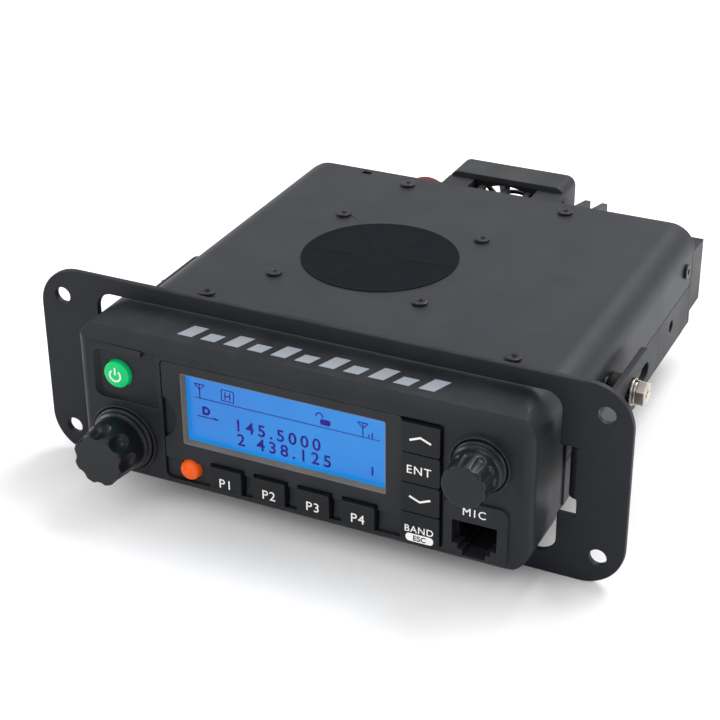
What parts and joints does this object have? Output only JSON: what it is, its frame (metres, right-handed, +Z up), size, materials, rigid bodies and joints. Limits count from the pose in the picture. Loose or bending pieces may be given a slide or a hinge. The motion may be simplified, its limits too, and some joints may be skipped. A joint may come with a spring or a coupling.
{
  "type": "mobile transceiver",
  "caption": "Compact mobile radio transceiver in a flush-mount panel plate, with blue display, knobs, function keys, modular microphone socket, top speaker and rear fan.",
  "frame": {"origin": "centre of the mounting plate's four-hole pattern, on the plate's rear (panel) face", "axes": "+X towards the viewer's right when facing the display, +Y from the front to the rear along the chassis, +Z up"},
  "size_m": [0.183, 0.1843, 0.062],
  "materials": {
    "plate_paint": "satin powder coat",
    "bolt_steel": "aged satin zinc",
    "black_rubber": "matte",
    "housing_plastic": "fine texture",
    "fascia_plastic": "satin",
    "window_clear": "clear",
    "lcd_blue": "backlit",
    "frame_grey": "satin",
    "diffuser_white": "translucent",
    "board_green": "solder mask",
    "zinc_steel": "zinc plated",
    "switch_white": "matte",
    "bright_metal": "bright tin",
    "black_plastic": "satin",
    "gold_contact": "gold flash",
    "ribbon_white": "satin",
    "black_steel": "black oxide",
    "casting_black": "satin black paint",
    "cover_paint": "fine texture paint",
    "cone_paper": "paper",
    "magnet_grey": "ferrite",
    "cloth_black": "woven",
    "shroud_black": "satin",
    "nickel_plate": "nickel",
    "insulator_white": "smooth",
    "cap_red": "matte",
    "knob_rubber": "satin",
    "button_green": "backlit translucent",
    "button_orange": "satin",
    "key_black": "satin",
    "legend_white": "print",
    "mark_grey": "print",
    "lcd_ink": "display segments"
  },
  "bodies": {
    "chassis": {"ear_bolts": "bolt_steel", "ear_lock_washers": "bolt_steel", "ear_flat_washers": "bolt_steel", "ear_spacers": "black_rubber", "front_housing": "housing_plastic", "display_fascia": "fascia_plastic", "display_window": "window_clear", "lcd_panel": "lcd_blue", "lcd_frame": "frame_grey", "backlight": "diffuser_white", "front_pcb": "board_green", "front_pcb_screws": "zinc_steel", "tact_switches": "switch_white", "volume_control": "bright_metal", "channel_encoder": "bright_metal", "control_nuts": "bright_metal", "mic_jack": "black_plastic", "mic_contacts": "gold_contact", "ribbon_cable": "ribbon_white", "housing_screws": "black_steel", "chassis_casting": "casting_black", "rear_heatsink": "casting_black", "top_cover": "cover_paint", "cover_screws": "black_steel", "side_screws": "black_steel", "speaker_frame": "zinc_steel", "speaker_cone": "cone_paper", "speaker_magnet": "magnet_grey", "speaker_cloth": "cloth_black", "main_pcb": "board_green", "pcb_screws": "zinc_steel", "shield_cans": "bright_metal", "power_module": "black_plastic", "fan_shroud": "shroud_black", "fan_frame": "black_plastic", "fan_screws": "zinc_steel", "antenna_socket": "nickel_plate", "antenna_insulator": "insulator_white", "antenna_contact": "gold_contact", "dc_inlet": "black_plastic", "dc_pins": "gold_contact", "speaker_jack": "black_plastic"},
    "plate": {"mounting_plate": "plate_paint"},
    "fan_wheel": {"fan_rotor": "black_plastic"},
    "antenna_dust_cap": {"antenna_cap": "cap_red"},
    "volume_control_knob": {"volume_knob": "knob_rubber", "volume_shaft": "nickel_plate"},
    "channel_control_knob": {"channel_knob": "knob_rubber", "channel_shaft": "nickel_plate"},
    "power_button": {"power_button": "button_green"},
    "orange_button": {"orange_button": "button_orange"},
    "key_p1": {"key_p1": "key_black"},
    "key_p2": {"key_p2": "key_black"},
    "key_p3": {"key_p3": "key_black"},
    "key_p4": {"key_p4": "key_black"},
    "up_key": {"up_key": "key_black"},
    "enter_key": {"enter_key": "key_black"},
    "down_key": {"down_key": "key_black"},
    "escape_key": {"escape_key": "key_black"}
  },
  "joints": [
    {"name": "plate_adjust", "type": "slide", "parent": "chassis", "child": "plate", "axis": [0, 1, 0], "range_m": [-0.012, 0.004]},
    {"name": "volume_turn", "type": "hinge", "parent": "chassis", "child": "volume_control_knob", "pos_m": [-0.0555, 0, -0.011], "axis": [0, 1, 0], "range_deg": [-90, 210]},
    {"name": "channel_turn", "type": "hinge", "parent": "chassis", "child": "channel_control_knob", "pos_m": [0.0553, 0, 0.0084], "axis": [0, 1, 0], "continuous": true},
    {"name": "fan_spin", "type": "hinge", "parent": "chassis", "child": "fan_wheel", "pos_m": [0.0012, 0, 0.0007], "axis": [0, 1, 0], "continuous": true},
    {"name": "antenna_cap_pull", "type": "slide", "parent": "chassis", "child": "antenna_dust_cap", "axis": [0, 1, 0], "range_m": [0, 0.02]},
    {"name": "power_button_press", "type": "slide", "parent": "chassis", "child": "power_button", "axis": [0, 1, 0], "range_m": [0, 0.0007], "stiffness_N_per_m": 400},
    {"name": "orange_button_press", "type": "slide", "parent": "chassis", "child": "orange_button", "axis": [0, 1, 0], "range_m": [0, 0.0007], "stiffness_N_per_m": 400},
    {"name": "key_p1_press", "type": "slide", "parent": "chassis", "child": "key_p1", "axis": [0, 1, 0], "range_m": [0, 0.0007], "stiffness_N_per_m": 400},
    {"name": "key_p2_press", "type": "slide", "parent": "chassis", "child": "key_p2", "axis": [0, 1, 0], "range_m": [0, 0.0007], "stiffness_N_per_m": 400},
    {"name": "key_p3_press", "type": "slide", "parent": "chassis", "child": "key_p3", "axis": [0, 1, 0], "range_m": [0, 0.0007], "stiffness_N_per_m": 400},
    {"name": "key_p4_press", "type": "slide", "parent": "chassis", "child": "key_p4", "axis": [0, 1, 0], "range_m": [0, 0.0007], "stiffness_N_per_m": 400},
    {"name": "up_key_press", "type": "slide", "parent": "chassis", "child": "up_key", "axis": [0, 1, 0], "range_m": [0, 0.0007], "stiffness_N_per_m": 400},
    {"name": "enter_key_press", "type": "slide", "parent": "chassis", "child": "enter_key", "axis": [0, 1, 0], "range_m": [0, 0.0007], "stiffness_N_per_m": 400},
    {"name": "down_key_press", "type": "slide", "parent": "chassis", "child": "down_key", "axis": [0, 1, 0], "range_m": [0, 0.0007], "stiffness_N_per_m": 400},
    {"name": "escape_key_press", "type": "slide", "parent": "chassis", "child": "escape_key", "axis": [0, 1, 0], "range_m": [0, 0.0007], "stiffness_N_per_m": 400}
  ]
}
